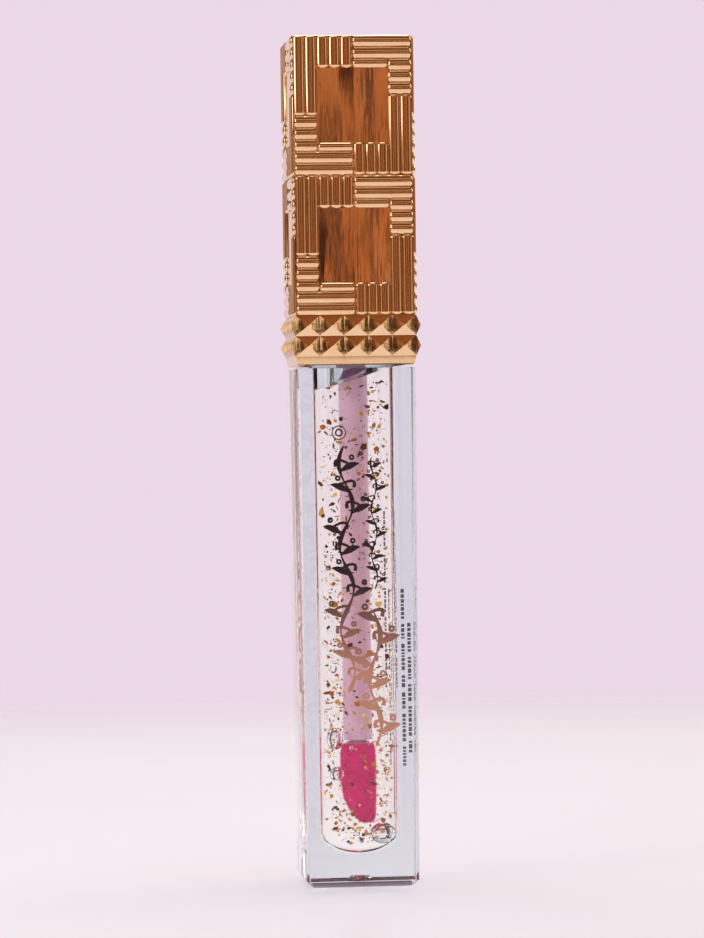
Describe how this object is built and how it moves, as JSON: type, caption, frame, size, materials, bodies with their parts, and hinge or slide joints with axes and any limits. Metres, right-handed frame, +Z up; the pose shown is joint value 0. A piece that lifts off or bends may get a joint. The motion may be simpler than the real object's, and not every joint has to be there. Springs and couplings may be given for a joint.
{
  "type": "lip gloss tube",
  "caption": "Square clear lip gloss tube with a ribbed rose-gold screw cap, a pink doe-foot wand through a wiper, and glitter gloss inside.",
  "frame": {"origin": "centre of the bottle's flat base", "axes": "+Z up the tube's long axis towards the cap, -Y out of the printed front face, +X to the viewer's right"},
  "size_m": [0.0186, 0.0186, 0.1186],
  "materials": {
    "clear_copolyester": "clear polished injection-moulded copolyester",
    "soft_polyethylene": "soft translucent polyethylene",
    "gloss_gel": "clear pale pink gel with gold flakes",
    "gloss_coat": "wet magenta film of gel",
    "foam_washer": "closed-cell foam",
    "natural_polypropylene": "natural polypropylene",
    "rose_gold_plate": "vacuum-plated mirror rose gold on ABS",
    "pink_stem": "mauve-pink tinted plastic",
    "pink_elastomer": "moulded elastomer",
    "magenta_flock": "short nylon flock"
  },
  "bodies": {
    "bottle": {"bottle": "clear_copolyester", "wiper": "soft_polyethylene"},
    "gloss": {"gloss_fill": "gloss_gel"},
    "film": {"gloss_film": "gloss_coat"},
    "closure": {"cap_shell": "rose_gold_plate", "inner_cap": "natural_polypropylene", "seal_washer": "foam_washer", "stem": "pink_stem", "tip_core": "pink_elastomer", "flocking": "magenta_flock"}
  },
  "joints": [
    {"name": "cap_turn", "type": "hinge", "parent": "bottle", "child": "gloss", "pos_m": [0, 0, 0.0724], "axis": [0, 0, 1], "range_deg": [0, 540]},
    {"name": "thread_lift", "type": "slide", "parent": "gloss", "child": "film", "axis": [0, 0, 1], "range_m": [0, 0.00318]},
    {"name": "wand_pull", "type": "slide", "parent": "film", "child": "closure", "axis": [0, 0, 1], "range_m": [0, 0.085], "deforming": ["wiper"]}
  ],
  "couplings": [
    {"joint": "thread_lift", "follows": "cap_turn", "m_per_rad": 0.00033693}
  ]
}
